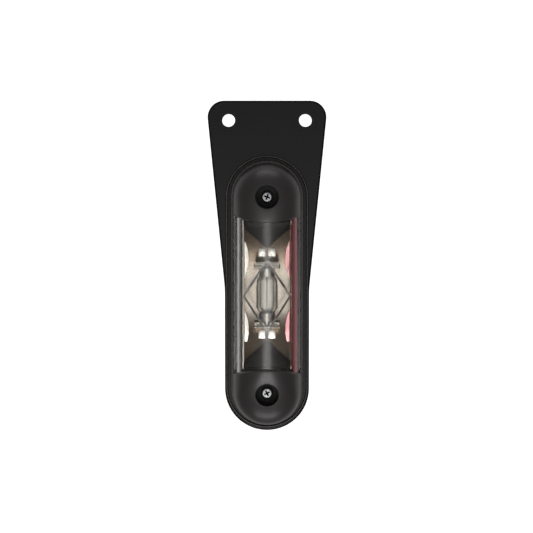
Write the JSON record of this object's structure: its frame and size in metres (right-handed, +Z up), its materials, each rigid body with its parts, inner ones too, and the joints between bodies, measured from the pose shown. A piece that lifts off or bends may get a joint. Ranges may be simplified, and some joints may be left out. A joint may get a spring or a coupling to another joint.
{
  "type": "marker light",
  "caption": "Stadium-shaped marker light on a tapered two-hole plate: clear lens with a red side filter, domed black end caps, festoon bulb inside.",
  "frame": {"origin": "midpoint between the two bolt holes, on the mounting plate's back face", "axes": "+Z up, towards the plate's wide end; front, where the lens is, towards -Y; +Y into the panel behind; +X right as seen from the front, the red side"},
  "size_m": [0.0588, 0.0335, 0.1641],
  "materials": {
    "black_plastic": "injection moulded, satin with a fine grain",
    "cap_plastic": "injection moulded, fine spark-eroded grain",
    "clear_lens": "polished mould, clear polycarbonate",
    "red_lens": "polished mould, transparent red polycarbonate",
    "metallised": "vacuum metallised plastic",
    "rubber": "moulded rubber, matte",
    "foam": "die-cut closed-cell foam",
    "zinc_screw": "bright zinc plated",
    "brass": "turned and pressed, bare",
    "plated_contact": "stamped spring brass, tin plated",
    "nickel_cap": "nickel plated, drawn",
    "tungsten": "drawn wire",
    "bulb_glass": "blown, fire polished"
  },
  "bodies": {
    "lamp_mount": {"mounting_plate": "black_plastic", "base_fixing_screws": "zinc_screw", "base_fixing_washers": "zinc_screw", "base_gasket": "foam", "base_housing": "black_plastic", "threaded_inserts": "brass", "cover_seal": "rubber", "cable_grommet": "rubber", "reflector": "metallised", "upper_baffle": "black_plastic", "lower_baffle": "black_plastic", "upper_terminal_strip": "brass", "lower_terminal_strip": "brass", "contact_rivets": "brass"},
    "cover": {"lens": "clear_lens", "red_filter": "red_lens", "upper_end_cap": "cap_plastic", "lower_end_cap": "cap_plastic", "screw_retaining_rings": "rubber"},
    "upper_screw": {"upper_cover_screw": "zinc_screw"},
    "lower_screw": {"lower_cover_screw": "zinc_screw"},
    "upper_contact": {"upper_contact_leaf": "plated_contact"},
    "lower_contact": {"lower_contact_leaf": "plated_contact"},
    "bulb": {"bulb_glass": "bulb_glass", "bulb_end_caps": "nickel_cap", "bulb_filament": "tungsten", "bulb_lead_wires": "tungsten"}
  },
  "joints": [
    {"name": "cover_lift", "type": "slide", "parent": "lamp_mount", "child": "cover", "axis": [0, -1, 0], "range_m": [0, 0.04]},
    {"name": "upper_screw_turn", "type": "hinge", "parent": "cover", "child": "upper_screw", "pos_m": [0, -0.0226, -0.0379], "axis": [0, -1, 0], "continuous": true},
    {"name": "lower_screw_turn", "type": "hinge", "parent": "cover", "child": "lower_screw", "pos_m": [0, -0.0226, -0.1325], "axis": [0, -1, 0], "continuous": true},
    {"name": "bulb_pull", "type": "slide", "parent": "lamp_mount", "child": "bulb", "axis": [0, -1, 0], "range_m": [0, 0.006]},
    {"name": "upper_contact_flex", "type": "hinge", "parent": "lamp_mount", "child": "upper_contact", "pos_m": [0, -0.00785, -0.07145], "axis": [-1, 0, 0], "range_deg": [0, 4], "stiffness_Nm_per_rad": 0.004, "springref_deg": -5.73},
    {"name": "lower_contact_flex", "type": "hinge", "parent": "lamp_mount", "child": "lower_contact", "pos_m": [0, -0.00785, -0.09895], "axis": [1, 0, 0], "range_deg": [0, 4], "stiffness_Nm_per_rad": 0.004, "springref_deg": -5.73}
  ]
}
